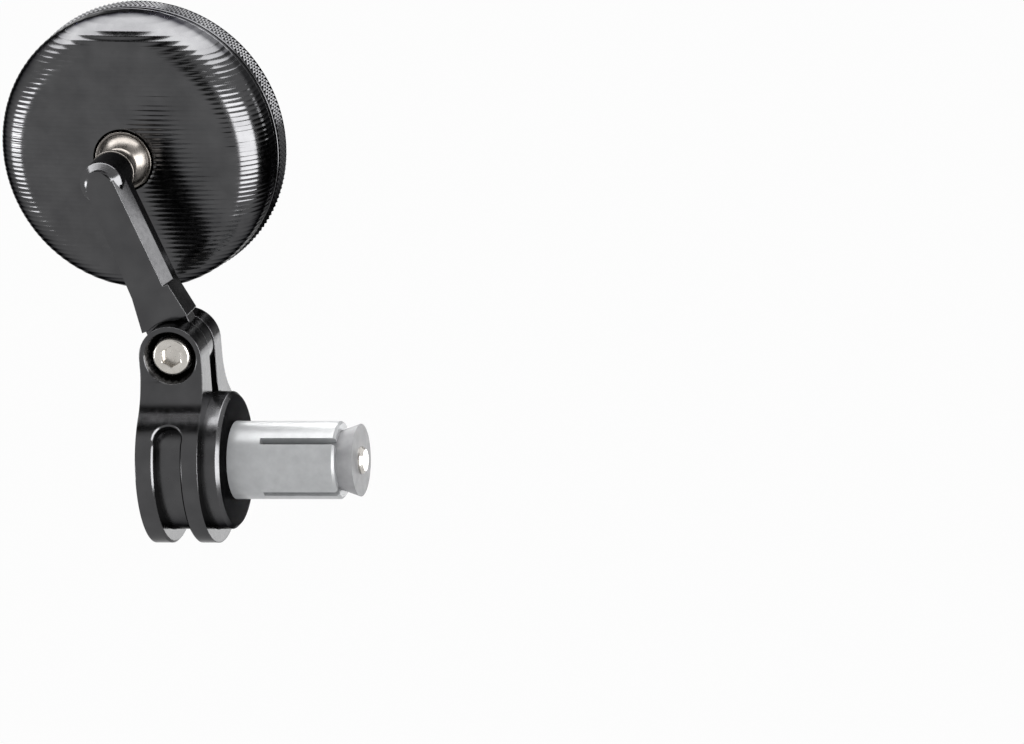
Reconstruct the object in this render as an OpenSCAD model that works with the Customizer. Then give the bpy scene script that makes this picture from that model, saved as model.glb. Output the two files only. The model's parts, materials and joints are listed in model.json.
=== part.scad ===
// Bar end mirror for a motorcycle: a plug that locks in the end of the handlebar, a split clamp
// on the plug, a folding arm held by the clamp's ears, and a round head on a ball stud.
// X runs along the handlebar towards its middle, -Y faces ahead, +Z is up.
// The origin is on the bar's axis, where the plug meets the end of the bar.

/* [Plug in the handlebar] */
// Diameter of the plug's visible body
plug_d = 30; // [28:0.5:34]
// Bevel on the plug's two rims
plug_bevel = 0.8; // [0.4:0.1:1.5]
// Outer diameter of the expanding sleeve
sleeve_d = 17; // [15:0.5:19]
// Length of the expanding sleeve
sleeve_len = 24; // [20:1:34]
// Width of the saw cuts in the sleeve
sleeve_cut = 1.6; // [1:0.1:2.4]
// Small diameter of the cone nut
cone_small_d = 9; // [8.4:0.2:11]
// Length of the cone nut
cone_len = 10; // [8:0.5:14]
// Diameter of the centre bolt
centre_bolt_d = 6; // [5:0.5:7]

/* [Clamp] */
// Width of the clamp along the bar
clamp_w = 14; // [12:0.5:16]
// How far the plug stands out of the clamp towards the bar
plug_proud = 4; // [2:0.5:8]
// Wall of the clamp's ring
ring_wall = 3; // [2.5:0.25:4.5]
// Width of the window milled round the ring
window_w = 6; // [4:0.5:8]
// Angle of the window's ends above the level of the bar
window_end = 30; // [10:1:32]
// Height of the folding pivot over the bar's axis
pivot_z = 25.3; // [25:0.1:28]
// Radius of the ears round the pivot
ear_r = 7; // [6.6:0.1:7.5]
// Distance from the bar's axis to the front ear's face
front_reach = 8; // [7.8:0.1:8.6]
// Thickness of the front ear
front_ear_t = 6.6; // [6:0.1:8]
// Thickness of the rear ear
rear_ear_t = 5.2; // [4:0.1:7]
// Width of the slit between the ears
slit_w = 4.8; // [4:0.1:6]
// Radius of the hollow blend from the ears to the ring
ear_blend = 13.5; // [8:0.5:15]
// Diameter of the pivot bolt
pivot_bolt_d = 5; // [4:0.5:5.5]
// Widest diameter of the dish round the pivot bolt's head
dish_d = 11.8; // [10:0.2:12.4]
// Depth of the dish
dish_depth = 2.4; // [1:0.2:3]
// How far the pivot bolt's head lies below the ear's face
head_sunk = 0.8; // [0.2:0.1:1.2]

/* [Arm] */
// Distance from the folding pivot to the ball stud
arm_len = 40.2; // [36:0.2:60]
// Lean of the arm away from upright, outboard
arm_lean = 20.6; // [10:0.2:30]
// Width of the arm at the ball stud
arm_w = 9; // [7.6:0.2:9.2]
// Width of the arm where it starts to widen
arm_root_w = 10.1; // [9.6:0.1:12]
// Thickness of the arm
arm_t = 7.6; // [6.4:0.2:9]
// Diameter of the boss that holds the ball stud
boss_d = 9.5; // [9.3:0.1:10.5]
// Length of the boss that holds the ball stud
boss_len = 10.8; // [8:0.2:12]
// Distance from the pivot at which the arm starts to widen
flare_start = 14.6; // [12:0.2:16]
// Bevel round the front of the boss
boss_bevel = 1.8; // [1:0.1:2.4]
// Width of the steep bevels along the arm, seen from the front
arm_bevel = 1.2; // [0.8:0.1:2]
// Depth of the steep bevels along the arm
bevel_depth = 4.6; // [3:0.2:6]
// How far the arm widens on each side down to its foot
foot_flare = 1.15; // [0.8:0.05:1.4]
// Thread diameter of the ball stud
stud_d = 6; // [5:0.5:6]
// Diameter of the ball
ball_d = 13; // [12:0.5:14]
// Distance from the boss to the centre of the ball
ball_reach = 12.6; // [12:0.2:16]

/* [Head] */
// Diameter of the head over the knurled ring
head_d = 62.8; // [61:0.2:72]
// Turn of the head about the upright axis, outboard
head_yaw = 5; // [0:1:10]
// Height of the knurled ring
ring_h = 5.2; // [4.8:0.2:6]
// Depth of the knurl
knurl_depth = 0.4; // [0.2:0.05:0.6]
// Diamonds round the knurled ring
knurl_count = 190; // [96:2:200]
// Rows of diamonds across the knurled ring
knurl_rows = 6; // [2:2:8]
// Width of the groove between the ring and the dome
groove_w = 0.4; // [0.2:0.1:0.8]
// Radius of the dome's shoulder
shoulder_r = 8.5; // [6:0.25:10]
// Radius of the crown
crown_r = 266; // [150:2:400]
// Distance from one machined ridge of the dome to the next
ridge_pitch = 1.05; // [0.9:0.05:3]
// Share of the pitch that a ridge takes
ridge_share = 0.6; // [0.4:0.05:0.8]
// Height of the ridges
ridge_h = 0.12; // [0.05:0.01:0.3]
// Wall of the dome
dome_wall = 2.6; // [2:0.2:4]
// Thickness of the mirror glass
glass_t = 2; // [1.6:0.2:3]
// Radius of the convex mirror
mirror_r = 1200; // [600:100:2000]
// Thickness of the seal behind the glass
seal_t = 0.4; // [0.3:0.1:0.6]
// Thickness of the plate behind the ball joint
plate_t = 1.4; // [1:0.1:2]
// Height of the disc spring
spring_h = 1.7; // [1.2:0.1:2.4]
// Floor of the pressure cup under the ball
cup_floor = 1.65; // [1:0.05:3]
// Wall of the hub round the pressure cup
hub_wall = 3.3; // [3:0.1:4.5]
// How far the top of the dome stands beyond the middle of the ball
ball_sunk = 2.7; // [2.4:0.1:3.2]

/* [Hidden] */
$fn = 96;

black = "#1e1e20";
steel = "#c9c9c4";
over = 1;
run_gap = 0.05;
thread_gap = 0.02;
slip_gap = 0.1;
window_relief = 0.3;

// Plug and bolt
plug_len = plug_proud + clamp_w;
plug_r = plug_d / 2;
bolt_r = centre_bolt_d / 2;
bolt_head_r = centre_bolt_d * 5 / 6;
bolt_head_h = centre_bolt_d;
bolt_hex = centre_bolt_d * 5 / 6;
washer_t = 1.2;
washer_r = bolt_head_r + 0.9;
bolt_pocket_r = washer_r + 0.3;
bolt_pocket_h = bolt_head_h + washer_t + plug_bevel;
pocket_floor_x = -plug_len + bolt_pocket_h;
nut_proud = 4;
nut_end_x = sleeve_len + nut_proud;
nut_start_x = nut_end_x - cone_len;
cone_big_r = sleeve_d / 2 - 0.6;
sleeve_tip_wall = 1;

// Clamp
clamp_x0 = -plug_proud - clamp_w;
clamp_x = -plug_proud - clamp_w / 2;
ring_bore_r = plug_r + run_gap;
ring_r = plug_r + ring_wall;
ears_t = front_ear_t + slit_w + rear_ear_t;
ear_y0 = -front_reach;
slit_y0 = ear_y0 + front_ear_t;
slit_y1 = slit_y0 + slit_w;
ear_y1 = slit_y1 + rear_ear_t;
pivot_r = pivot_bolt_d / 2;
pivot_head_r = pivot_bolt_d * 0.85;
pivot_head_h = pivot_bolt_d * 4 / 5;
pivot_hex = pivot_bolt_d * 4 / 5;
head_pocket_r = pivot_head_r + 0.25;
head_pocket_h = pivot_head_h + head_sunk;
dish_reach = 4;

// Arm
tongue_r = ear_r - 0.2;
shoulder_clear = 0.35;
foot_z = ear_r * 0.95;
arm_r = arm_w / 2;
root_half = arm_root_w / 2;
foot_half = root_half + foot_flare;
arm_y0 = slit_y0 - 2.6;
arm_y1 = arm_y0 + arm_t;
boss_r = boss_d / 2;
boss_y1 = arm_y0 + boss_len;
tip_x = clamp_x - arm_len * sin(arm_lean);
tip_z = pivot_z + arm_len * cos(arm_lean);
ball_r = ball_d / 2;
ball_y = boss_y1 + ball_reach;
stud_depth = boss_len - 2;
neck_r = ball_r * 0.52;
collar_r = boss_r + 0.2;
collar_t = 1;

// Head, measured from the outer edge of the knurled ring, along its own axis
head_r = head_d / 2;
root_r = head_r - knurl_depth;
lip_t = 1;
lip_w = 1.2;
fit_r = root_r - 0.9;
skirt_r = fit_r - run_gap;
glass_r = fit_r - 0.2;
lip_r = glass_r - lip_w;
seal_h = lip_t + glass_t;
skirt_h = seal_h + seal_t;
dome_base_h = ring_h + groove_w;
dome_r = root_r + 0.1;
band_h = dome_base_h + 1.4;
seat_gap = 0.05;
seat_t = 1.05;
seat_r = ball_r + seat_gap;
bowl_r = seat_r + seat_t + seat_gap;
cup_r = bowl_r + 1.9;
hub_bore_r = cup_r + slip_gap;
hub_r = hub_bore_r + hub_wall;
hub_h = skirt_h + 0.5 + plate_t;
cup_h0 = hub_h + spring_h;
ball_h = cup_h0 + cup_floor + bowl_r;
cup_h1 = ball_h - 0.9;
head_h = ball_h + ball_sunk;
crown_sag = crown_r - sqrt(pow(crown_r - shoulder_r, 2) - pow(dome_r - shoulder_r, 2));
shoulder_h = head_h - crown_sag;
crown_edge_r = (dome_r - shoulder_r) * crown_r / (crown_r - shoulder_r);
seat_angle = 29;
spring_bore_r = ball_r * 0.55;
spring_t = 0.8;
plate_hole_r = ball_r * 0.45;
hollow_top = dome_wall + 1.6;
hollow_slope = hub_wall + 0.7;
retainer_h0 = ball_h + 0.2;
retainer_flange_t = 1.1;
retainer_r = ball_r - 0.05;
retainer_flange_r = hub_bore_r - 0.5;
screw_r = 1;
screw_head_r = 1.9;
screw_len = 6;
screw_count = 3;
screw_place_r = (hub_bore_r + hub_r) / 2;
pad_t = 0.8;

// Frames and common forms

module along_x(x) {
  translate([x, 0, 0]) rotate([0, 90, 0]) children();
}

// Children stand on the plane y = y0 and grow towards +Y
module along_y(y0) {
  translate([0, y0, 0]) rotate([-90, 0, 0]) children();
}

module at_pivot() {
  translate([clamp_x, 0, pivot_z]) children();
}

module in_arm() {
  at_pivot() rotate([0, -arm_lean, 0]) children();
}

module at_tip() {
  translate([tip_x, 0, tip_z]) children();
}

module in_head() {
  translate([tip_x, ball_y, tip_z]) rotate([90, 0, -head_yaw]) translate([0, 0, -ball_h]) children();
}

// Cylinder with a bevel at each end
module bevelled(r, h, b0, b1) {
  rotate_extrude()
    polygon([[0, 0], [r - b0, 0], [r, b0], [r, h - b1], [r - b1, h], [0, h]]);
}

module tube(r_out, r_in, h) {
  difference() {
    cylinder(r = r_out, h = h);
    translate([0, 0, -over]) cylinder(r = r_in, h = h + 2 * over);
  }
}

// Socket cap screw: head below z = 0, thread above it
module cap_screw(r, len, head_r, head_h, hex) {
  difference() {
    union() {
      translate([0, 0, -head_h]) bevelled(head_r, head_h, 0.5, 0.15);
      translate([0, 0, -over / 2]) bevelled(r, len + over / 2, 0, r * 0.2);
    }
    translate([0, 0, -head_h - over]) cylinder(d = hex * 2 / sqrt(3), h = head_h * 0.55 + over, $fn = 6);
  }
}

// Plug

module end_plug() {
  color(black)
    difference() {
      along_x(-plug_len) bevelled(plug_r, plug_len, plug_bevel, plug_bevel);
      along_x(-plug_len - over) cylinder(r = bolt_pocket_r, h = bolt_pocket_h + over);
      along_x(-plug_len - over) cylinder(r = bolt_r + 0.2, h = plug_len + 2 * over);
    }
}

module expander_sleeve() {
  color("#8d8f92")
    difference() {
      along_x(0) bevelled(sleeve_d / 2, sleeve_len, 0, 0.5);
      along_x(-over) cylinder(r = bolt_r + 0.5, h = sleeve_len + 2 * over);
      sleeve_cone(run_gap);
      for (turn = [45, 135])
        rotate([turn, 0, 0])
          translate([sleeve_len * 0.3, -sleeve_d, -sleeve_cut / 2])
            cube([sleeve_len, 2 * sleeve_d, sleeve_cut]);
    }
}

// The cone that the nut and the sleeve share, wider by a gap in the sleeve
module sleeve_cone(gap) {
  along_x(nut_start_x) cylinder(r1 = cone_small_d / 2 + gap, r2 = cone_big_r + gap, h = cone_len);
}

module cone_nut() {
  color(steel)
    difference() {
      sleeve_cone(0);
      along_x(nut_start_x - over) cylinder(r = bolt_r + thread_gap, h = cone_len + 2 * over);
    }
}

module centre_bolt() {
  color(steel)
    along_x(pocket_floor_x - washer_t)
      cap_screw(bolt_r, nut_end_x + 1 - pocket_floor_x + washer_t, bolt_head_r, bolt_head_h, bolt_hex);
}

module bolt_washer() {
  color(steel) along_x(pocket_floor_x - washer_t) tube(washer_r, bolt_r + 0.2, washer_t);
}

// Clamp

module ear_block() {
  at_pivot() along_y(ear_y0) cylinder(r = ear_r, h = ears_t);
  translate([clamp_x - ear_r, ear_y0, 0]) cube([2 * ear_r, ears_t, pivot_z]);
}

// Hollow blend between a flat ear face at distance y from the middle and the ring, seen along the bar
module blend_side(y) {
  far = y + ear_blend;
  rise = sqrt(pow(ring_r + ear_blend, 2) - far * far);
  foot = ring_r / (ring_r + ear_blend);
  difference() {
    polygon([[0, 0], [far * foot, rise * foot], [y, rise], [0, rise]]);
    translate([far, rise]) circle(r = ear_blend);
  }
}

module ring_window() {
  r0 = ring_bore_r - over;
  depth = ring_wall + 2 * over;
  along_x(clamp_x)
    rotate([0, 0, -90 - window_end])
      rotate_extrude(angle = 180 + 2 * window_end)
        translate([r0, -window_w / 2]) square([depth, window_w]);
}

// One round end of the window, on the front (side = -1) or the rear (side = 1)
module window_end_cut(side) {
  translate([clamp_x, 0, 0])
    rotate([side * window_end, 0, 0])
      translate([0, side > 0 ? ring_bore_r - over : -ring_bore_r + over - ring_wall - 2 * over, 0])
        rotate([-90, 0, 0]) cylinder(d = window_w + window_relief, h = ring_wall + 2 * over);
}

module clamp_body() {
  along_x(clamp_x0) cylinder(r = ring_r, h = clamp_w);
  ear_block();
  translate([clamp_x0, 0, 0])
    rotate([90, 0, 90])
      linear_extrude(clamp_w) {
        blend_side(ear_y1);
        mirror([1, 0]) blend_side(-ear_y0);
      }
}

module clamp() {
  color(black)
    difference() {
      clamp_body();
      along_x(clamp_x0 - over) cylinder(r = ring_bore_r, h = clamp_w + 2 * over);
      translate([clamp_x0 - over, slit_y0, 0])
        cube([clamp_w + 2 * over, slit_w, pivot_z + ear_r + over]);
      ring_window();
      window_end_cut(-1);
      window_end_cut(1);
      at_pivot() {
        along_y(ear_y0 - over) cylinder(r = pivot_r + run_gap, h = front_ear_t + 2 * over);
        along_y(slit_y1 - over) cylinder(r = pivot_r + thread_gap, h = rear_ear_t + 2 * over);
        along_y(ear_y0 - over) cylinder(r = head_pocket_r, h = head_pocket_h + over);
        along_y(ear_y0)
          rotate_extrude()
            polygon([
              [0, -dish_reach], [dish_d / 2, -dish_reach], [dish_d / 2, 0], [head_pocket_r, dish_depth], [0, dish_depth]
            ]);
      }
    }
}

module pivot_bolt() {
  color(steel)
    at_pivot() along_y(ear_y0 + head_pocket_h)
      cap_screw(pivot_r, ears_t - head_pocket_h - 0.4, pivot_head_r, pivot_head_h, pivot_hex);
}

// Arm

// The arm from the front, with the pivot at the origin and the ball stud straight above it
module arm_outline() {
  polygon([
    [-arm_r, arm_len], [-root_half, flare_start], [-foot_half, foot_z],
    [foot_half, foot_z], [root_half, flare_start], [arm_r, arm_len]
  ]);
}

// Cutter for the steep bevel along one side (side = 1 inboard), between two heights
// at which the arm has the half widths x0 and x1
module side_bevel(side, x0, z0, x1, z1) {
  lead = over * arm_bevel / bevel_depth;
  section = [
    [-arm_bevel - lead, -over], [lead, bevel_depth + over], [3 * over, bevel_depth + over], [3 * over, -over]
  ];
  outward = [[0, 3, 2, 1], [4, 5, 6, 7], [0, 1, 5, 4], [1, 2, 6, 5], [2, 3, 7, 6], [3, 0, 4, 7]];
  polyhedron(
    points = concat(
      [for (p = section) [side * (x0 + p.x), arm_y0 + p.y, z0]],
      [for (p = section) [side * (x1 + p.x), arm_y0 + p.y, z1]]
    ),
    faces = [for (f = outward) side > 0 ? f : [f[3], f[2], f[1], f[0]]]
  );
}

module arm_bar() {
  taper = (root_half - arm_r) / (arm_len - flare_start);
  flare = foot_flare / (flare_start - foot_z);
  difference() {
    along_y(arm_y0) mirror([0, 1]) linear_extrude(arm_t) arm_outline();
    along_y(arm_y0 - over) cylinder(r = ear_r + shoulder_clear, h = arm_t + 2 * over);
    for (side = [-1, 1])
      side_bevel(side, root_half, flare_start, arm_r - over * taper, arm_len + over);
    side_bevel(-1, foot_half + over * flare, foot_z - over, root_half, flare_start);
  }
}

module arm() {
  color(black)
    in_arm()
      difference() {
        union() {
          arm_bar();
          translate([0, 0, arm_len]) along_y(arm_y0) bevelled(boss_r, boss_len, boss_bevel, 0.2);
          along_y(slit_y0 + run_gap) cylinder(r = tongue_r, h = slit_w - 2 * run_gap);
          translate([-root_half, slit_y0 + run_gap, 0])
            cube([2 * root_half, slit_w - 2 * run_gap, ear_r + 2]);
        }
        along_y(slit_y0 - over) cylinder(r = pivot_r + run_gap, h = slit_w + 2 * over);
        translate([0, 0, arm_len])
          along_y(boss_y1 - stud_depth - 0.5) cylinder(r = stud_d / 2 + thread_gap, h = stud_depth + 2 * over);
      }
}

module ball_stud() {
  neck_y = ball_reach - sqrt(ball_r * ball_r - neck_r * neck_r);
  color(steel)
    at_tip() along_y(boss_y1) {
      difference() {
        union() {
          translate([0, 0, -stud_depth]) bevelled(stud_d / 2, stud_depth + over, 0.6, 0);
          bevelled(collar_r, collar_t, 0.15, 0.3);
          rotate_extrude()
            difference() {
              square([collar_r - 0.4, neck_y + 0.3]);
              translate([collar_r - 0.4 + 1.9, (neck_y + collar_t) / 2 + 0.6])
                circle(r = (neck_y + 0.3 - collar_t) / 2 + 0.7);
            }
          translate([0, 0, ball_reach]) sphere(r = ball_r);
        }
      }
    }
}

// Ball joint in the head

module ball_seat() {
  color("#d8d4c8")
    in_head()
      translate([0, 0, ball_h])
        difference() {
          sphere(r = seat_r + seat_t);
          sphere(r = seat_r);
          translate([0, 0, -ball_r * sin(seat_angle)]) cylinder(r = 2 * ball_r, h = 2 * ball_r);
        }
}

module pressure_cup() {
  color("#8d8f92")
    in_head()
      difference() {
        translate([0, 0, cup_h0]) bevelled(cup_r, cup_h1 - cup_h0, 0.4, 0.2);
        translate([0, 0, ball_h]) sphere(r = bowl_r);
      }
}

module ball_retainer() {
  top = head_h + 0.1;
  color(steel)
    in_head()
      difference() {
        union() {
          translate([0, 0, retainer_h0]) bevelled(retainer_flange_r, retainer_flange_t, 0.2, 0);
          translate([0, 0, retainer_h0]) bevelled(retainer_r, top - retainer_h0, 0, 0.15);
        }
        translate([0, 0, ball_h]) sphere(r = seat_r);
      }
}

// Head

module dome_form(grow) {
  translate([0, 0, band_h - over]) cylinder(r = dome_r + grow, h = shoulder_h - band_h + over);
  rotate_extrude()
    translate([dome_r - shoulder_r, shoulder_h])
      intersection() {
        circle(r = shoulder_r + grow);
        translate([-over, 0]) square(2 * shoulder_r);
      }
  intersection() {
    translate([0, 0, head_h - crown_r]) sphere(r = crown_r + grow, $fn = 192);
    translate([0, 0, shoulder_h]) cylinder(r = crown_edge_r, h = head_h);
  }
}

// Flat slices across the dome, one for each ridge, level with the local Y axis
module ridge_slices() {
  count = floor(dome_r / ridge_pitch);
  for (i = [-count : count])
    translate([-head_d, (i - ridge_share / 2) * ridge_pitch, band_h])
      cube([2 * head_d, ridge_share * ridge_pitch, head_h]);
}

module dome_outside() {
  dome_form(-ridge_h);
  intersection() {
    dome_form(0);
    ridge_slices();
  }
  translate([0, 0, dome_base_h]) bevelled(dome_r, band_h - dome_base_h, 0.3, 0);
  translate([0, 0, skirt_h]) cylinder(r = skirt_r, h = dome_base_h - skirt_h + over);
}

// Room round the hub, which leaves the dome's wall outside it
module dome_hollow() {
  out = dome_r - dome_wall - 0.9;
  top = head_h - hollow_top;
  rotate_extrude()
    polygon([
      [0, skirt_h - over], [out, skirt_h - over], [out, shoulder_h - 1], [out - 3, top - 1.2], [hub_r + hollow_slope, top],
      [hub_r, top], [hub_r, hub_h], [0, hub_h]
    ]);
}

module screw_places() {
  for (turn = [0 : screw_count - 1])
    rotate([0, 0, 90 + turn * 360 / screw_count])
      translate([screw_place_r, 0, 0]) children();
}

module dome_housing() {
  flange_top = retainer_h0 + retainer_flange_t;
  color(black)
    in_head()
      difference() {
        dome_outside();
        dome_hollow();
        translate([0, 0, hub_h - over]) cylinder(r = hub_bore_r, h = flange_top - hub_h + over);
        translate([0, 0, hub_h]) cylinder(r = retainer_r + thread_gap, h = head_h);
        translate([0, 0, head_h - 0.5]) cylinder(r1 = retainer_r, r2 = retainer_r + 0.9, h = 0.9);
        screw_places() translate([0, 0, hub_h - over]) cylinder(r = screw_r + thread_gap, h = screw_len + over);
      }
}

module disc_spring() {
  color(steel)
    in_head()
      translate([0, 0, hub_h])
        rotate_extrude()
          polygon([[spring_bore_r, spring_h - spring_t], [cup_r - 0.4, 0], [cup_r - 0.4, spring_t], [spring_bore_r, spring_h]]);
}

module retaining_plate() {
  color("#8d8f92")
    in_head()
      difference() {
        translate([0, 0, hub_h - plate_t]) cylinder(r = hub_r, h = plate_t);
        translate([0, 0, hub_h - plate_t - over]) cylinder(r = plate_hole_r, h = plate_t + 2 * over);
        screw_places() {
          translate([0, 0, hub_h - plate_t - over]) cylinder(r = screw_r + slip_gap, h = plate_t + 2 * over);
          translate([0, 0, hub_h - plate_t]) cylinder(r1 = screw_head_r, r2 = screw_r + slip_gap, h = 1);
        }
      }
}

module plate_screws() {
  color(steel)
    in_head()
      screw_places() {
        translate([0, 0, hub_h - plate_t]) cylinder(r1 = screw_head_r - 0.1, r2 = screw_r, h = 0.9);
        translate([0, 0, hub_h - plate_t + 0.5]) bevelled(screw_r, screw_len - 0.6, 0, 0.3);
      }
}

// Knurl: peaks and hollows alternate like a chessboard round the ring, with plain bevelled ends
function knurl_ring(h, r0, r1, odd) = [
  for (i = [0 : knurl_count - 1])
    let (r = (i + odd) % 2 == 0 ? r1 : r0, a = i * 360 / knurl_count)
      [r * cos(a), r * sin(a), h]
];

module knurled_disc() {
  b = 0.35;
  n = knurl_count;
  m = knurl_rows + 1;
  edge_r = root_r - 0.2;
  step = (ring_h - 2 * b) / knurl_rows;
  points = concat(
    knurl_ring(0, edge_r, edge_r, 0),
    [for (k = [0 : knurl_rows]) each knurl_ring(b + k * step, root_r, head_r, k % 2)],
    knurl_ring(ring_h, edge_r, edge_r, 0)
  );
  sides = [
    for (k = [0 : m], i = [0 : n - 1])
      let (a = k * n + i, b1 = k * n + (i + 1) % n, c = a + n, d = b1 + n)
        each ((i + k) % 2 == 0 ? [[a, b1, c], [b1, d, c]] : [[a, b1, d], [a, d, c]])
  ];
  bottom = [[for (i = [0 : n - 1]) n - 1 - i]];
  top = [[for (i = [0 : n - 1]) (m + 1) * n + i]];
  polyhedron(points = points, faces = [for (f = concat(sides, bottom, top)) [for (v = f) v]], convexity = 4);
}

module rim_ring() {
  color(black)
    in_head()
      difference() {
        knurled_disc();
        translate([0, 0, lip_t]) cylinder(r = fit_r, h = ring_h);
        translate([0, 0, -over]) cylinder(r = lip_r, h = ring_h);
      }
}

// How far the convex face stands out at radius r, from the edge of the lip
function bulge(r) = (lip_r * lip_r - r * r) / (2 * mirror_r);

module mirror_glass() {
  steps = 8;
  color("#aeb8bf")
    in_head()
      rotate_extrude()
        polygon(concat(
          [for (i = [0 : steps]) let (r = lip_r * i / steps) [r, lip_t - bulge(r)]],
          [[glass_r, lip_t], [glass_r, seal_h], [0, seal_h]]
        ));
}

module glass_seal() {
  color("#2a2a2a") in_head() translate([0, 0, seal_h]) tube(glass_r, skirt_r - 1.7, seal_t);
}

module glass_pad() {
  color("#4a4a4a") in_head() translate([0, 0, seal_h]) cylinder(r = skirt_r - 2.5, h = pad_t);
}

end_plug();
expander_sleeve();
cone_nut();
centre_bolt();
bolt_washer();
clamp();
pivot_bolt();
arm();
ball_stud();
ball_seat();
pressure_cup();
dome_housing();
ball_retainer();
disc_spring();
retaining_plate();
plate_screws();
rim_ring();
mirror_glass();
glass_seal();
glass_pad();
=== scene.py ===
"""Looks of the bar end mirror: its turned, milled and knurled pieces, their finishes, the studio and the camera."""
import json
import math

import bmesh
import bpy
from mathutils import Matrix, Vector


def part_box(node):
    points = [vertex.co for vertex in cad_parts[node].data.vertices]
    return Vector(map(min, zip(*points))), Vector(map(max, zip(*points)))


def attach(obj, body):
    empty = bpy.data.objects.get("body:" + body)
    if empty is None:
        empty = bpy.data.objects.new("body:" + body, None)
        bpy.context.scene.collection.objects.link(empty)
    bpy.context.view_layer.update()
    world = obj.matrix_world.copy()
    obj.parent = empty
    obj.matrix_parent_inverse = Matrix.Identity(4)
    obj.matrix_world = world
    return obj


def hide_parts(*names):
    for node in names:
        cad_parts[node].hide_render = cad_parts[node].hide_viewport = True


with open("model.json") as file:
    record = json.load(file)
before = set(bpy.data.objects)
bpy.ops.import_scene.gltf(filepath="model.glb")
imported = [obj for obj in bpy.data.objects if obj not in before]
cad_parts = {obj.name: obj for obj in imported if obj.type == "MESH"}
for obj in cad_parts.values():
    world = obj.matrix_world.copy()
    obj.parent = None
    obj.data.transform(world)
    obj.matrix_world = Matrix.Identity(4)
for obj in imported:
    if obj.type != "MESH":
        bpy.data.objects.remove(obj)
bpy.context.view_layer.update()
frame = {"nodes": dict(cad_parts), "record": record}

MM = 0.001

# Sizes in millimetres, as the model has them
HEAD_R = 31.4
KNURL_DEPTH = 0.4
ROOT_R = HEAD_R - KNURL_DEPTH
RING_H = 5.2
FIT_R = 30.1
GLASS_R = 29.9
LIP_R = 28.7
LIP_T = 1.0
GLASS_T = 2.0
MIRROR_R = 1200.0
DOME_R = 31.1
DOME_BASE_H = 5.6
BAND_H = 7.0
SHOULDER_R = 8.5
SHOULDER_H = 9.506
CROWN_R = 266.0
HEAD_H = 19.0
BALL_H = 16.3
BALL_R = 6.5
RETAINER_R = 6.45
HOLE_R = 6.95
BOSS_Y1 = 6.8
BALL_REACH = 12.6
NECK_R = 3.4
THREAD_R = 3.0
THREAD_LEN = 8.8
FLANGE_R = 4.9
FLANGE_T = 1.0
SCREW_HEAD_R = 4.25
SCREW_HEAD_H = 4.0
SCREW_HEXAGON = 4.0
SCREW_R = 2.5
PLUG_R = 15.0
PLUG_LEN = 18.0
PLUG_CHAMFER = 0.8
PLUG_BORE_R = 3.2
PLUG_DISH_R = 6.2
PLUG_DISH_H = 8.0
CLAMP_RING_R = 18
WINDOW_X = -11
WINDOW_W = 6.0

# Finer forms that only the mesh has, in millimetres
HOLE_EDGE = 0.12
RIDGE_PITCH = 1.05
RIDGE_H = 0.085
SHALLOWEST_RIDGE = 0.45
WINDOW_CHAMFER = 0.4

# Fineness of the mesh
FILLET_STEPS = 6
ROWS_PER_RIDGE = 6
STEPS_ALONG_ROW = 44
PROFILE_SAMPLES = 400
KNURL_COLUMNS = 350
KNURL_ROWS = 6


# Frames

def joint(name):
    return next(j for j in frame["record"]["behaviour"]["joints"] if j["name"] == name)


def frame_at(origin_mm, z_axis, y_axis):
    """A matrix from local millimetres to the world, with the given origin and axes."""
    z = Vector(z_axis).normalized()
    x = Vector(y_axis).cross(z).normalized()
    y = z.cross(x)
    m = Matrix((x, y, z)).transposed().to_4x4()
    m.translation = Vector(origin_mm) * MM
    return m @ Matrix.Scale(MM, 4)


PIVOT = Vector(joint("arm_fold")["pos_m"]) / MM
BALL = Vector(joint("head_spin")["pos_m"]) / MM
POLE = Vector(joint("head_spin")["axis"]).normalized()
HEAD = frame_at(BALL - BALL_H * POLE, POLE, (0, 0, 1))
STUD = frame_at((BALL.x, BOSS_Y1, BALL.z), (0, 1, 0), (0, 0, 1))
screw_low, screw_high = (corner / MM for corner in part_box("pivot_bolt"))
SCREW = frame_at((PIVOT.x, screw_low.y, PIVOT.z), (0, 1, 0), (0, 0, 1))
SCREW_LEN = screw_high.y - screw_low.y
PLUG = frame_at((-PLUG_LEN, 0, 0), (1, 0, 0), (0, 0, 1))


# Mesh helpers

def rounded(points):
    """Points (r, h) or (r, h, fillet) along a profile, with each fillet drawn as an arc."""
    out = []
    n = len(points)
    for i, p in enumerate(points):
        here = Vector(p[:2])
        fillet = p[2] if len(p) > 2 else 0
        if not fillet or i in (0, n - 1):
            out.append(here)
            continue
        back = (Vector(points[i - 1][:2]) - here).normalized()
        ahead = (Vector(points[i + 1][:2]) - here).normalized()
        half = back.angle(ahead) / 2
        reach = fillet / math.tan(half)
        centre = here + (back + ahead).normalized() * fillet / math.sin(half)
        a = here + back * reach - centre
        b = here + ahead * reach - centre
        turn = math.atan2(a.x * b.y - a.y * b.x, a.dot(b))
        for k in range(FILLET_STEPS + 1):
            t = turn * k / FILLET_STEPS
            x = a.x * math.cos(t) - a.y * math.sin(t)
            y = a.x * math.sin(t) + a.y * math.cos(t)
            out.append(centre + Vector((x, y)))
    return out


def arc(cx, cy, r, a0, a1, steps):
    """Points on a circle from angle a0 to a1, in degrees."""
    return [
        (cx + r * math.cos(math.radians(a0 + (a1 - a0) * k / steps)),
         cy + r * math.sin(math.radians(a0 + (a1 - a0) * k / steps)))
        for k in range(steps + 1)
    ]


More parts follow.
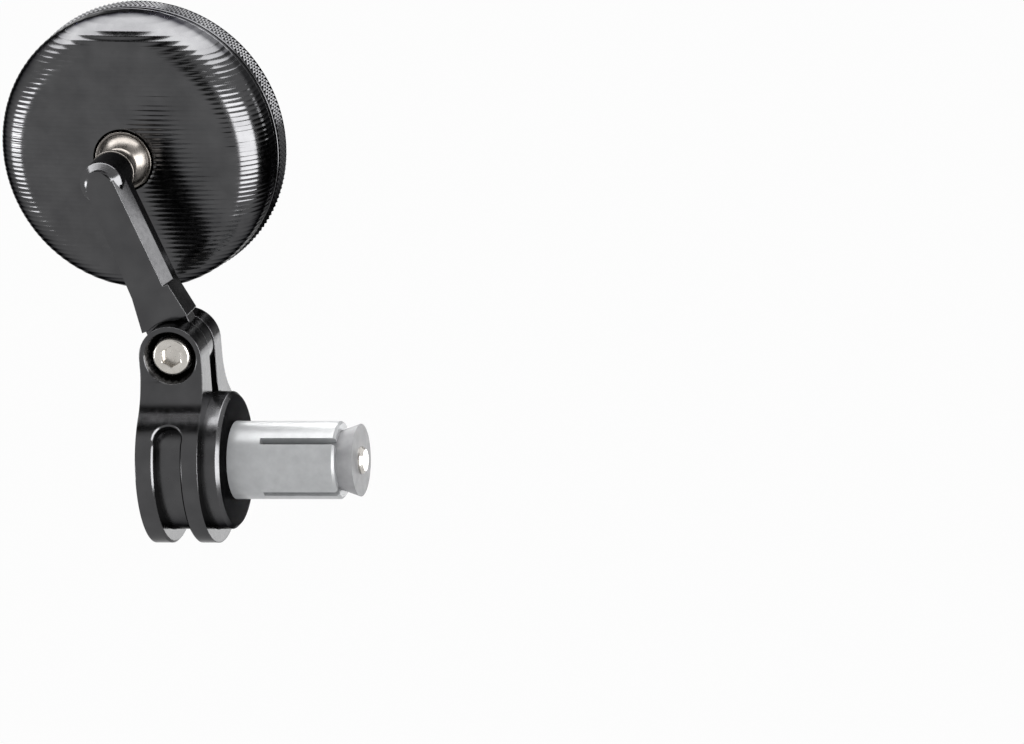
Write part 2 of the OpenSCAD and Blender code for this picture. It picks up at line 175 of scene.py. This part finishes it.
def turned(bm, profile, segments=128):
    """Adds the surface that a profile of (r, h) sweeps round the local Z axis, and returns its rings of vertices."""
    on_axis = 1e-6
    rings = []
    for p in profile:
        r, h = p[0], p[1]
        if r < on_axis:
            rings.append([bm.verts.new((0, 0, h))])
        else:
            turns = [2 * math.pi * i / segments for i in range(segments)]
            rings.append([bm.verts.new((r * math.cos(a), r * math.sin(a), h)) for a in turns])
    for a, b in zip(rings, rings[1:]):
        for i in range(segments):
            j = (i + 1) % segments
            corners = [a[i % len(a)], a[j % len(a)], b[j % len(b)], b[i % len(b)]]
            corners = list(dict.fromkeys(corners))
            if len(corners) > 2:
                bm.faces.new(corners)
    return rings


def stand_for(obj, node, body):
    """Lets an object stand for a node: the node is hidden and the object rides on the node's body."""
    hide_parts(node)
    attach(obj, body)


def piece(name, bm, matrix, material, node, body, sharp):
    """Makes a piece from a bmesh in local millimetres, which stands for a node and rides on its body. Its edges are
    crisp above the sharp angle, in degrees."""
    weld = 1e-5
    bmesh.ops.remove_doubles(bm, verts=bm.verts, dist=weld)
    bmesh.ops.recalc_face_normals(bm, faces=bm.faces)
    bm.transform(matrix)
    mesh = bpy.data.meshes.new(name)
    bm.to_mesh(mesh)
    bm.free()
    mesh.shade_smooth()
    mesh.set_sharp_from_angle(angle=math.radians(sharp))
    obj = bpy.data.objects.new(name, mesh)
    bpy.context.scene.collection.objects.link(obj)
    mesh.materials.append(material)
    stand_for(obj, node, body)


def on_window_rim(edge):
    """Whether an edge of the clamp lies on the outer rim of the window milled round its ring."""
    beyond_window, off_ring, least_angle = 0.3, 0.12, 50
    middle = (edge.verts[0].co + edge.verts[1].co) / 2 / MM
    if abs(middle.x - WINDOW_X) > WINDOW_W / 2 + beyond_window or len(edge.link_faces) != 2:
        return False
    if abs(math.hypot(middle.y, middle.z) - CLAMP_RING_R) > off_ring:
        return False
    return edge.calc_face_angle(0) > math.radians(least_angle)


def off_boss(vert):
    """Whether a vertex lies clear of the arm's round boss, whose small faces stay as they are."""
    clear_r = 5.3
    return math.hypot(vert.co.x / MM - BALL.x, vert.co.z / MM - BALL.z) > clear_r


def smoothed_copy(name, node, body, material, sharp, chamfered=None, chamfer=0.0):
    """A copy of a node's solid, which stands for it: even faces, crisp where they meet at more than the sharp angle
    in degrees, and with the chamfered edges cut."""
    weld, flat_angle, larger_faces_first = 2e-6, 1.5, 100
    mesh = frame["nodes"][node].data.copy()
    mesh.name = name
    obj = bpy.data.objects.new(name, mesh)
    bpy.context.scene.collection.objects.link(obj)
    bm = bmesh.new()
    bm.from_mesh(mesh)
    bmesh.ops.remove_doubles(bm, verts=bm.verts, dist=weld)
    flat = [v for v in bm.verts if off_boss(v)]
    joined = [e for e in bm.edges if off_boss(e.verts[0]) or off_boss(e.verts[1])]
    bmesh.ops.dissolve_limit(bm, angle_limit=math.radians(flat_angle), verts=flat, edges=joined)
    if chamfered:
        edges = [e for e in bm.edges if chamfered(e)]
        bmesh.ops.bevel(bm, geom=edges, offset=chamfer * MM, segments=1, profile=0.5, affect="EDGES",
                        clamp_overlap=False)
    bm.to_mesh(mesh)
    bm.free()
    obj.data.shade_smooth()
    obj.data.set_sharp_from_angle(angle=math.radians(sharp))
    even = obj.modifiers.new("even faces", "WEIGHTED_NORMAL")
    even.keep_sharp = True
    even.weight = larger_faces_first
    apply_modifiers(obj)
    obj.data.materials.clear()
    obj.data.materials.append(material)
    stand_for(obj, node, body)


def apply_modifiers(obj):
    depsgraph = bpy.context.evaluated_depsgraph_get()
    mesh = bpy.data.meshes.new_from_object(obj.evaluated_get(depsgraph))
    obj.modifiers.clear()
    obj.data = mesh


# Materials

def new_material(name):
    m = bpy.data.materials.new(name)
    m.use_nodes = True
    nodes = m.node_tree.nodes
    return m, nodes, m.node_tree.links, nodes["Principled BSDF"]


def add_node(nodes, kind, **values):
    """A shader node with its inputs set by name."""
    n = nodes.new(kind)
    for key, value in values.items():
        n.inputs[key.replace("_", " ")].default_value = value
    return n


def map_range(nodes, **values):
    """A Map Range node. Its inputs are named as in From_Min."""
    return add_node(nodes, "ShaderNodeMapRange", **values)


def vary(nodes, links, socket, low, high, scale, detail=3.0, stretch=(1, 1, 1)):
    """Links noise to a socket, between two values. scale is in features for each metre."""
    place = nodes.new("ShaderNodeTexCoord")
    mapping = add_node(nodes, "ShaderNodeMapping", Scale=stretch)
    grain = add_node(nodes, "ShaderNodeTexNoise", Scale=scale, Detail=detail, Roughness=0.55)
    spread = map_range(nodes, From_Min=0.3, From_Max=0.7, To_Min=low, To_Max=high)
    links.new(place.outputs["Object"], mapping.inputs["Vector"])
    links.new(mapping.outputs["Vector"], grain.inputs["Vector"])
    links.new(grain.outputs["Fac"], spread.inputs["Value"])
    if socket is not None:
        links.new(spread.outputs["Result"], socket)
    return spread


def surface_relief(nodes, links, shader, scale, depth, edge=0.0, stretch=(1, 1, 1)):
    """Fine bump, and an edge rounding of the given radius in millimetres."""
    height = vary(nodes, links, None, 0.0, 1.0, scale, 4.0, stretch)
    bump = add_node(nodes, "ShaderNodeBump", Strength=1.0, Distance=depth * MM)
    links.new(height.outputs["Result"], bump.inputs["Height"])
    if edge:
        soft = add_node(nodes, "ShaderNodeBevel", Radius=edge * MM)
        soft.samples = 6
        links.new(soft.outputs["Normal"], bump.inputs["Normal"])
    links.new(bump.outputs["Normal"], shader.inputs["Normal"])


def two_tone(nodes, links, socket, dark, light, scale):
    """A colour that drifts between two near tones."""
    drift = vary(nodes, links, None, 0.0, 1.0, scale)
    mix = nodes.new("ShaderNodeMix")
    mix.data_type = "RGBA"
    mix.inputs["A"].default_value = (*dark, 1)
    mix.inputs["B"].default_value = (*light, 1)
    links.new(drift.outputs["Result"], mix.inputs["Factor"])
    links.new(mix.outputs["Result"], socket)


def anodised(name, dark, light, rough, grain=(9000, 0.0006), edge=0.0, stretch=(1, 1, 1), tint=0.25):
    """Black anodised aluminium: a dark metal with a satin skin. tint is its share of the glare at a low angle."""
    m, nodes, links, shader = new_material(name)
    shader.inputs["Metallic"].default_value = 1.0
    shader.inputs["Specular Tint"].default_value = (tint, tint, tint, 1)
    two_tone(nodes, links, shader.inputs["Base Color"], dark, light, scale=160)
    vary(nodes, links, shader.inputs["Roughness"], *rough, scale=900)
    surface_relief(nodes, links, shader, *grain, edge, stretch)
    return m


def bare_metal(name, dark, light, rough, metallic=1.0):
    """Steel or aluminium. A low metallic value keeps a pale one from reflecting the white room as pure white."""
    m, nodes, links, shader = new_material(name)
    shader.inputs["Metallic"].default_value = metallic
    two_tone(nodes, links, shader.inputs["Base Color"], dark, light, scale=400)
    vary(nodes, links, shader.inputs["Roughness"], *rough, scale=1500)
    surface_relief(nodes, links, shader, scale=6000, depth=0.0005)
    return m


def dull(name, dark, light, rough, grain):
    """Rubber, foam or plastic."""
    m, nodes, links, shader = new_material(name)
    two_tone(nodes, links, shader.inputs["Base Color"], dark, light, scale=500)
    vary(nodes, links, shader.inputs["Roughness"], *rough, scale=1200)
    surface_relief(nodes, links, shader, *grain)
    return m


def silvered(name):
    """Mirror glass, silvered behind: faint dust and a cool tint."""
    m, nodes, links, shader = new_material(name)
    shader.inputs["Metallic"].default_value = 1.0
    two_tone(nodes, links, shader.inputs["Base Color"], (0.80, 0.84, 0.87), (0.84, 0.87, 0.89), scale=60)
    vary(nodes, links, shader.inputs["Roughness"], 0.01, 0.03, scale=300)
    return m


# Colours from dark to light, then roughness from low to high, and grain as its scale and depth in millimetres
BLACK_TURNED = anodised("black_turned", (0.062, 0.062, 0.064), (0.078, 0.078, 0.080), (0.20, 0.28), edge=0.12)
BLACK_MILLED = anodised("black_milled", (0.058, 0.058, 0.060), (0.074, 0.074, 0.076), (0.14, 0.20),
                        edge=0.3, tint=0.6)
BLACK_RIDGED = anodised("black_ridged", (0.060, 0.060, 0.062), (0.080, 0.080, 0.082), (0.13, 0.20),
                        grain=(4000, 0.0012), stretch=(0.15, 0.15, 1))
BLACK_KNURL = anodised("black_knurl", (0.050, 0.050, 0.052), (0.075, 0.075, 0.077), (0.14, 0.20))
STAINLESS = bare_metal("stainless", (0.44, 0.42, 0.39), (0.54, 0.52, 0.49), (0.20, 0.30))
POLISHED = bare_metal("polished", (0.115, 0.105, 0.096), (0.145, 0.135, 0.125), (0.24, 0.32))
TURNED_ALUMINIUM = bare_metal("turned_aluminium", (0.46, 0.47, 0.48), (0.54, 0.55, 0.56), (0.3, 0.4), metallic=0.07)
PLATED_STEEL = bare_metal("plated_steel", (0.30, 0.30, 0.31), (0.38, 0.38, 0.39), (0.45, 0.55), metallic=0.05)
NYLON = dull("nylon", (0.70, 0.68, 0.61), (0.78, 0.76, 0.70), (0.4, 0.5), (3000, 0.002))
RUBBER = dull("rubber", (0.012, 0.012, 0.012), (0.02, 0.02, 0.02), (0.55, 0.7), (5000, 0.003))
FOAM = dull("foam", (0.03, 0.03, 0.03), (0.05, 0.05, 0.05), (0.8, 0.95), (4000, 0.01))
MIRROR = silvered("mirror")


# The dome

def dome_profile():
    """Profile (r, h) of the dome from the top of its plain band up to the pole, without ridges."""
    side_steps, shoulder_steps, crown_steps = 4, 30, 24
    crown_angle = math.degrees(math.acos((DOME_R - SHOULDER_R) / (CROWN_R - SHOULDER_R)))
    side = [(DOME_R, BAND_H + (SHOULDER_H - BAND_H) * k / side_steps) for k in range(side_steps)]
    shoulder = arc(DOME_R - SHOULDER_R, SHOULDER_H, SHOULDER_R, 0, crown_angle, shoulder_steps)
    crown = arc(0, HEAD_H - CROWN_R, CROWN_R, crown_angle, 90, crown_steps)
    return side + shoulder + crown[1:]


def ridge_depth(y):
    """How deep the surface lies under the crests at local height y: shallow round cuts of slightly uneven depth."""
    index = math.floor(y / RIDGE_PITCH)
    share = y / RIDGE_PITCH - index
    uneven = 0.5 + 0.5 * math.sin(index * 12.9898) * math.cos(index * 4.1414)
    return RIDGE_H * (SHALLOWEST_RIDGE + (1 - SHALLOWEST_RIDGE) * uneven) * (1 - (2 * share - 1) ** 2)


def ridge_rows():
    """Heights of the mesh rows: some in each ridge, and closer ones near the dome's edge and the hole's."""
    edge_gap, row_gap, hole_gap = 0.05, 0.01, 0.004
    rim_r = HOLE_R + HOLE_EDGE
    count = int(DOME_R / RIDGE_PITCH * ROWS_PER_RIDGE)
    rows = [k * RIDGE_PITCH / ROWS_PER_RIDGE for k in range(-count, count + 1)]
    rows = [y for y in rows if abs(y) < DOME_R - edge_gap]
    edge = [DOME_R * math.cos(math.radians(a)) for a in (0.01, 1.0, 2.0, 3.0, 4.0)]
    hole = [rim_r * math.cos(math.radians(a)) for a in (0, 4, 8, 12)]
    closer = [y for y in edge if y > rows[-1] + row_gap] + hole
    rows = [y for y in rows if all(abs(abs(y) - h) > hole_gap for h in hole)]
    return sorted(rows + closer + [-y for y in closer])


def profile_at(profile, lengths, s):
    """Point and outward normal at a distance s along the profile."""
    for p, q, start, end in zip(profile, profile[1:], lengths, lengths[1:]):
        if s <= end or q is profile[-1]:
            t = min(1.0, (s - start) / (end - start))
            p, q = Vector(p), Vector(q)
            d = (q - p).normalized()
            return p.lerp(q, t), Vector((d.y, -d.x))


def dome_surface(bm):
    """The ridged skin: rows at level heights, each following the dome's section in from both sides.
    Rows that meet the ball's hole end on its rim and go on down its wall."""
    profile = dome_profile()
    lengths = [0.0]
    for p, q in zip(profile, profile[1:]):
        lengths.append(lengths[-1] + (Vector(q) - Vector(p)).length)
    whole = lengths[-1]
    radii = [profile_at(profile, lengths, whole * k / PROFILE_SAMPLES)[0].x for k in range(PROFILE_SAMPLES + 1)]
    rim_r = HOLE_R + HOLE_EDGE
    grid = []
    for y in ridge_rows():
        inner = max(abs(y), rim_r)
        reach = next((k for k, r in enumerate(radii) if r < inner), PROFILE_SAMPLES)
        before, after = radii[max(0, reach - 1)], radii[reach]
        end = (reach - 1 + (before - inner) / max(1e-9, before - after)) / PROFILE_SAMPLES * whole
        row = []
        for k in range(STEPS_ALONG_ROW + 1):
            p, n = profile_at(profile, lengths, end * k / STEPS_ALONG_ROW)
            r = inner if k == STEPS_ALONG_ROW else max(p.x, inner)
            x = math.sqrt(max(0.0, r * r - y * y))
            radial = Vector((x, y)) / r
            row.append(Vector((x, y, p.y)) - ridge_depth(y) * Vector((radial.x * n.x, radial.y * n.x, n.y)))
        if abs(y) <= rim_r + 1e-9:
            rim = row[-1]
            out = rim.xy / rim.xy.length
            for r, h in ((HOLE_R + 0.035, rim.z - 0.035), (HOLE_R, rim.z - HOLE_EDGE),
                         (RETAINER_R + 0.14, HEAD_H - 0.9), (RETAINER_R + 0.12, HEAD_H - 2.2)):
                row.append(Vector((out.x * r, out.y * r, h)))
        grid.append(row)
    for side in (-1, 1):
        rows = [[bm.verts.new((side * p.x, p.y, p.z)) for p in row] for row in grid]
        for a, b in zip(rows, rows[1:]):
            for i in range(min(len(a), len(b)) - 1):
                bm.faces.new((a[i], a[i + 1], b[i + 1], b[i]))


def make_dome():
    """The ridged skin, with the plain band and the lower edge that sits on the rim ring."""
    bm = bmesh.new()
    dome_surface(bm)
    spigot_r, spigot_h = FIT_R - 0.05, 3.4
    groove_r = DOME_R - RIDGE_H
    turned(bm, rounded([
        (spigot_r, spigot_h), (spigot_r, DOME_BASE_H, 0.1), (DOME_R - 0.35, DOME_BASE_H, 0.15),
        (DOME_R, DOME_BASE_H + 0.4, 0.2), (DOME_R, BAND_H - 0.05, 0.12),
        (groove_r - 0.02, BAND_H + 0.1), (groove_r - 0.05, BAND_H + 0.8)
    ]), 256)
    piece("dome", bm, HEAD, BLACK_RIDGED, "dome_housing", "head", 50)


# The knurled ring

def knurl_band(bm, h0, h1):
    """Diamonds: crests and hollows alternate, and each face runs down from a crest."""
    grid = []
    for k in range(KNURL_ROWS + 1):
        h = h0 + (h1 - h0) * k / KNURL_ROWS
        ring = []
        for i in range(KNURL_COLUMNS):
            crest = (i + k) % 2 == 0 and 0 < k < KNURL_ROWS
            r = HEAD_R if crest else ROOT_R
            a = 2 * math.pi * i / KNURL_COLUMNS
            ring.append(bm.verts.new((r * math.cos(a), r * math.sin(a), h)))
        grid.append(ring)
    for k in range(KNURL_ROWS):
        for i in range(KNURL_COLUMNS):
            j = (i + 1) % KNURL_COLUMNS
            a, b, c, d = grid[k][i], grid[k][j], grid[k + 1][i], grid[k + 1][j]
            if (i + k) % 2 == 0:
                bm.faces.new((a, b, c))
                bm.faces.new((b, d, c))
            else:
                bm.faces.new((a, b, d))
                bm.faces.new((a, d, c))


def make_rim():
    """The ring that holds the glass: its knurl, its lip over the glass and its bore."""
    bm = bmesh.new()
    plain_h = 0.42
    edge_r = ROOT_R - 0.05
    knurl_band(bm, plain_h, RING_H - plain_h)
    turned(bm, rounded([
        (ROOT_R, plain_h), (edge_r, 0.0, 0.25), (LIP_R, 0.0, 0.2), (LIP_R, LIP_T), (FIT_R, LIP_T),
        (FIT_R, RING_H - 0.01, 0.1), (edge_r, RING_H, 0.2), (ROOT_R, RING_H - plain_h)
    ]), KNURL_COLUMNS)
    piece("rim", bm, HEAD, BLACK_KNURL, "rim_ring", "head", 24)


# Ball joint, seen through the dome's hole

def make_ball_stud():
    """Threaded end, flange, waisted neck and ball, with the flange's seat at z = 0."""
    bm = bmesh.new()
    ball_steps = 48
    touch = BALL_REACH - math.sqrt(BALL_R ** 2 - NECK_R ** 2)
    ball_start = math.degrees(math.asin(NECK_R / BALL_R))
    angles = [ball_start + (180 - ball_start) * k / ball_steps for k in range(ball_steps + 1)]
    ball = [
        (BALL_R * math.sin(math.radians(a)), BALL_REACH - BALL_R * math.cos(math.radians(a))) for a in angles
    ]
    waist = arc(5.9, (touch + FLANGE_T) / 2 + 0.3, 2.55, 216, 142, 16)
    foot = rounded([
        (0, -THREAD_LEN), (2.6, -THREAD_LEN, 0.2), (THREAD_R, -8.2, 0.2), (THREAD_R, 0.0),
        (FLANGE_R, 0.0, 0.15), (FLANGE_R, FLANGE_T, 0.25)
    ])
    turned(bm, foot + waist + ball)
    piece("ball_stud_steel", bm, STUD, POLISHED, "ball_stud", "arm", 35)


def make_retainer():
    """The bright ring round the ball, with the skirt by which it is held inside the dome."""
    bm = bmesh.new()
    top = HEAD_H + 0.1
    skirt_h = HEAD_H - 1.9
    skirt_r = 9.1
    seat = math.sqrt((BALL_R + 0.03) ** 2 - (top - BALL_H) ** 2)
    turned(bm, rounded([
        (BALL_R + 0.05, BALL_H + 0.25), (BALL_R - 0.1, BALL_H + 1.3), (seat, top - 0.05, 0.05),
        (seat + 0.15, top, 0.08), (RETAINER_R, top, 0.12), (RETAINER_R, skirt_h), (skirt_r, skirt_h),
        (skirt_r, BALL_H + 0.2), (BALL_R + 0.05, BALL_H + 0.25)
    ]))
    piece("retainer", bm, HEAD, POLISHED, "ball_retainer", "head", 35)


# The pivot screw

def make_pivot_screw():
    """A socket cap screw with its head's top at z = 0, a rounded rim and a hexagon socket."""
    bm = bmesh.new()
    socket_depth = SCREW_HEAD_H * 0.55
    socket_r = SCREW_HEXAGON / math.sqrt(3)
    outer = turned(bm, rounded([
        (socket_r + 0.25, 0.0), (SCREW_HEAD_R, 0.0, 0.75), (SCREW_HEAD_R, SCREW_HEAD_H, 0.12),
        (SCREW_R, SCREW_HEAD_H), (SCREW_R, SCREW_LEN - 0.4), (SCREW_R * 0.8, SCREW_LEN), (0, SCREW_LEN)
    ]), 120)
    mouth = outer[0]
    n = len(mouth)

    def hex_ring(scale, z):
        ring = []
        for i in range(n):
            a = 2 * math.pi * i / n
            within = (a + math.pi / 6) % (math.pi / 3) - math.pi / 6
            flat = socket_r * math.cos(math.pi / 6) / math.cos(within)
            ring.append(bm.verts.new((scale * flat * math.cos(a), scale * flat * math.sin(a), z)))
        return ring

    rings = [mouth, hex_ring(1.04, 0.12), hex_ring(1.0, 0.3), hex_ring(0.98, socket_depth),
             hex_ring(0.4, socket_depth + 0.1)]
    for a, b in zip(rings, rings[1:]):
        for i in range(n):
            bm.faces.new((a[i], a[(i + 1) % n], b[(i + 1) % n], b[i]))
    bm.faces.new(rings[-1])
    piece("pivot_screw", bm, SCREW, STAINLESS, "pivot_bolt", "clamp", 32)


# Plug and glass

def make_plug():
    """The plug's body, with its outer face at z = 0 and a dish there for the centre bolt's head."""
    bm = bmesh.new()
    fillet = 0.3
    turned(bm, rounded([
        (PLUG_BORE_R, PLUG_DISH_H), (PLUG_DISH_R, PLUG_DISH_H, 0.2), (PLUG_DISH_R, 0.0, fillet),
        (PLUG_R - PLUG_CHAMFER, 0.0, fillet), (PLUG_R, PLUG_CHAMFER, fillet),
        (PLUG_R, PLUG_LEN - PLUG_CHAMFER, fillet), (PLUG_R - PLUG_CHAMFER, PLUG_LEN, fillet),
        (PLUG_BORE_R, PLUG_LEN), (PLUG_BORE_R, PLUG_DISH_H)
    ]), 192)
    piece("plug_body", bm, PLUG, BLACK_TURNED, "end_plug", "bar_end", 35)


def make_glass():
    """The glass, whose seen face bulges very slightly out of the rim's lip."""
    bm = bmesh.new()
    steps = 24
    radii = [LIP_R * k / steps for k in range(steps + 1)]
    face = [(r, LIP_T - (LIP_R ** 2 - r ** 2) / (2 * MIRROR_R)) for r in radii]
    turned(bm, face + [(GLASS_R, LIP_T), (GLASS_R, LIP_T + GLASS_T), (0, LIP_T + GLASS_T)], 192)
    piece("glass", bm, HEAD, MIRROR, "mirror_glass", "head", 35)


make_dome()
make_rim()
make_ball_stud()
make_retainer()
make_pivot_screw()
make_plug()
make_glass()
smoothed_copy("clamp_block", "clamp", "clamp", BLACK_MILLED, 26, on_window_rim, WINDOW_CHAMFER)
smoothed_copy("arm_bar", "arm", "arm", BLACK_MILLED, 10)

NODE_FINISH = {
    "expander_sleeve": TURNED_ALUMINIUM, "cone_nut": PLATED_STEEL, "centre_bolt": STAINLESS,
    "bolt_washer": STAINLESS, "ball_seat": NYLON, "pressure_cup": TURNED_ALUMINIUM, "disc_spring": PLATED_STEEL,
    "retaining_plate": TURNED_ALUMINIUM, "plate_screws": STAINLESS, "glass_seal": RUBBER, "glass_pad": FOAM
}
for node, material in NODE_FINISH.items():
    mesh_materials = frame["nodes"][node].data.materials
    mesh_materials.clear()
    mesh_materials.append(material)


# Camera. The object sits left of the frame's middle, as in the photograph, at 4.6 pixels for each millimetre.

IMAGE_W = 1024
IMAGE_H = 744
SCALE = 4.6
BAR_AXIS_PX = (237.3, 460.0)
VIEW_RIGHT = Vector((0.9659, 0.2488, -0.0713))
VIEW_UP = Vector((0.0, 0.2756, 0.9613))
VIEW_BACK = VIEW_RIGHT.cross(VIEW_UP).normalized()
CAMERA_FAR = 5000.0
SENSOR = 36.0

camera_data = bpy.data.cameras.new("camera")
camera = bpy.data.objects.new("camera", camera_data)
bpy.context.scene.collection.objects.link(camera)
aim = (
    VIEW_RIGHT * ((IMAGE_W / 2 - BAR_AXIS_PX[0]) / SCALE)
    + VIEW_UP * ((BAR_AXIS_PX[1] - IMAGE_H / 2) / SCALE)
)
camera.matrix_world = Matrix((VIEW_RIGHT, VIEW_UP, VIEW_BACK)).transposed().to_4x4()
camera.location = (aim + VIEW_BACK * CAMERA_FAR) * MM
camera_data.sensor_width = SENSOR
camera_data.lens = SENSOR * SCALE * CAMERA_FAR / IMAGE_W
camera_data.clip_end = 50
bpy.context.scene.camera = camera


# Studio

MIDDLE = Vector((-15, 5, 40))
TOP_LIGHT_SHIFT = Vector((-147, 429, 0))
FLOOR_HALF_WIDTH_M = 12.0
FLOOR_Z_M = -0.6
FLOOR_WHITE_SHARE = 0.93
WORLD_ON_OBJECT = 0.8
WORLD_TO_EYE = 1.0
CARD_FADE = 0.3


def face_middle(obj, azimuth, elevation, distance):
    """Adds an object at a distance in millimetres from the part's middle, facing it. Azimuth 0 is in front of the
    part, and grows towards the bar."""
    a, e = math.radians(azimuth), math.radians(elevation)
    toward = Vector((math.sin(a) * math.cos(e), -math.cos(a) * math.cos(e), math.sin(e)))
    obj.location = (MIDDLE + toward * distance) * MM
    obj.rotation_euler = (-toward).to_track_quat("-Z", "Y").to_euler()
    bpy.context.scene.collection.objects.link(obj)


def panel(name, azimuth, elevation, distance, size, radiance):
    """A soft lamp panel that only shows in shiny surfaces: the world gives the plain light. Sizes in millimetres."""
    data = bpy.data.lights.new(name, "AREA")
    data.shape = "RECTANGLE"
    data.size, data.size_y = size[0] * MM, size[1] * MM
    data.energy = math.pi * data.size * data.size_y * radiance
    obj = bpy.data.objects.new(name, data)
    obj.visible_diffuse = False
    face_middle(obj, azimuth, elevation, distance)
    return obj


def flag(name, azimuth, elevation, distance, size):
    """A black card that only shows in shiny surfaces."""
    mesh = bpy.data.meshes.new(name)
    w, h = size[0] * MM / 2, size[1] * MM / 2
    mesh.from_pydata([(-w, -h, 0), (w, -h, 0), (w, h, 0), (-w, h, 0)], [], [(0, 1, 2, 3)])
    mesh.materials.append(CARD_SOFT)
    obj = bpy.data.objects.new(name, mesh)
    obj.visible_camera = False
    obj.visible_diffuse = False
    obj.visible_shadow = False
    face_middle(obj, azimuth, elevation, distance)


def math_node(nodes, operation, number=None):
    """A Math node, with its second value set where a number is given."""
    n = nodes.new("ShaderNodeMath")
    n.operation = operation
    if number is not None:
        n.inputs[1].default_value = number
    return n


def white_to_eye(nodes, links):
    """1 for camera, glossy and transmission rays, else 0."""
    path = nodes.new("ShaderNodeLightPath")
    total = path.outputs["Is Camera Ray"]
    for ray in ("Is Glossy Ray", "Is Transmission Ray"):
        either = math_node(nodes, "MAXIMUM")
        links.new(total, either.inputs[0])
        links.new(path.outputs[ray], either.inputs[1])
        total = either.outputs[0]
    return total


def make_floor():
    """White to the camera and in reflections, with a faint shadow, and a plain pale surface to the light. Clear from
    below, so that the object shows from there too."""
    m = bpy.data.materials.new("floor_white")
    m.use_nodes = True
    nodes, links = m.node_tree.nodes, m.node_tree.links
    nodes.clear()
    out = nodes.new("ShaderNodeOutputMaterial")
    pale = add_node(nodes, "ShaderNodeBsdfDiffuse", Color=(0.86, 0.86, 0.86, 1))
    glow = add_node(nodes, "ShaderNodeEmission", Color=(1, 1, 1, 1), Strength=1.0)
    mix = nodes.new("ShaderNodeMixShader")
    share = math_node(nodes, "MULTIPLY", FLOOR_WHITE_SHARE)
    links.new(white_to_eye(nodes, links), share.inputs[0])
    links.new(share.outputs[0], mix.inputs["Fac"])
    links.new(pale.outputs[0], mix.inputs[1])
    links.new(glow.outputs[0], mix.inputs[2])
    clear = nodes.new("ShaderNodeBsdfTransparent")
    side = nodes.new("ShaderNodeNewGeometry")
    seen = nodes.new("ShaderNodeMixShader")
    links.new(side.outputs["Backfacing"], seen.inputs["Fac"])
    links.new(mix.outputs[0], seen.inputs[1])
    links.new(clear.outputs[0], seen.inputs[2])
    links.new(seen.outputs[0], out.inputs["Surface"])
    w, z = FLOOR_HALF_WIDTH_M, FLOOR_Z_M
    mesh = bpy.data.meshes.new("floor")
    mesh.from_pydata([(-w, -w, z), (w, -w, z), (w, w, z), (-w, w, z)], [], [(0, 1, 2, 3)])
    floor = bpy.data.objects.new("floor", mesh)
    mesh.materials.append(m)
    bpy.context.scene.collection.objects.link(floor)


def make_world():
    """A plain light on the object from all round, and white to the camera and in reflections."""
    world = bpy.data.worlds.new("studio")
    bpy.context.scene.world = world
    world.use_nodes = True
    nodes, links = world.node_tree.nodes, world.node_tree.links
    nodes.clear()
    out = nodes.new("ShaderNodeOutputWorld")
    back = add_node(nodes, "ShaderNodeBackground", Color=(1, 1, 1, 1))
    strength = map_range(nodes, To_Min=WORLD_ON_OBJECT, To_Max=WORLD_TO_EYE)
    links.new(white_to_eye(nodes, links), strength.inputs["Value"])
    links.new(strength.outputs["Result"], back.inputs["Strength"])
    links.new(back.outputs[0], out.inputs["Surface"])


def card_material(name):
    """Black. It fades out towards its edges over a share of its width and height."""
    m, nodes, links, shader = new_material(name)
    shader.inputs["Base Color"].default_value = (0, 0, 0, 1)
    shader.inputs["Roughness"].default_value = 1.0
    shader.inputs["Specular IOR Level"].default_value = 0.0
    place = nodes.new("ShaderNodeTexCoord")
    split = nodes.new("ShaderNodeSeparateXYZ")
    links.new(place.outputs["Generated"], split.inputs[0])
    both = math_node(nodes, "MULTIPLY")
    for i, axis in enumerate("XY"):
        value = split.outputs[axis]
        for step in (math_node(nodes, "SUBTRACT", 0.5), math_node(nodes, "ABSOLUTE")):
            links.new(value, step.inputs[0])
            value = step.outputs[0]
        ramp = map_range(nodes, From_Min=0.5, From_Max=0.5 - CARD_FADE)
        links.new(value, ramp.inputs["Value"])
        links.new(ramp.outputs["Result"], both.inputs[i])
    links.new(both.outputs[0], shader.inputs["Alpha"])
    return m


# Panels and cards by azimuth, elevation, distance and size, and the panels' radiance
CARD_SOFT = card_material("card_soft")
make_floor()
make_world()
panel("right_light", 57, -2, 800, (800, 640), 11)
panel("left_light", -68, -8, 800, (480, 200), 14)
top_light = panel("top_light", 180, 89.9, 470, (1105, 1113), 8)
top_light.location += TOP_LIGHT_SHIFT * MM
panel("rear_light", 130, 8, 800, (150, 150), 4.5)
panel("low_light", 165.5, -16.5, 800, (220, 200), 3.5)
flag("flag_bar", 120, -16, 900, (1900, 1250))
flag("flag_rear", 164, 10, 900, (420, 420))
flag("flag_camera", 8, 20, 900, (640, 520))
flag("flag_high", -20, 58, 700, (1100, 330))

bpy.context.scene.view_settings.view_transform = "Standard"
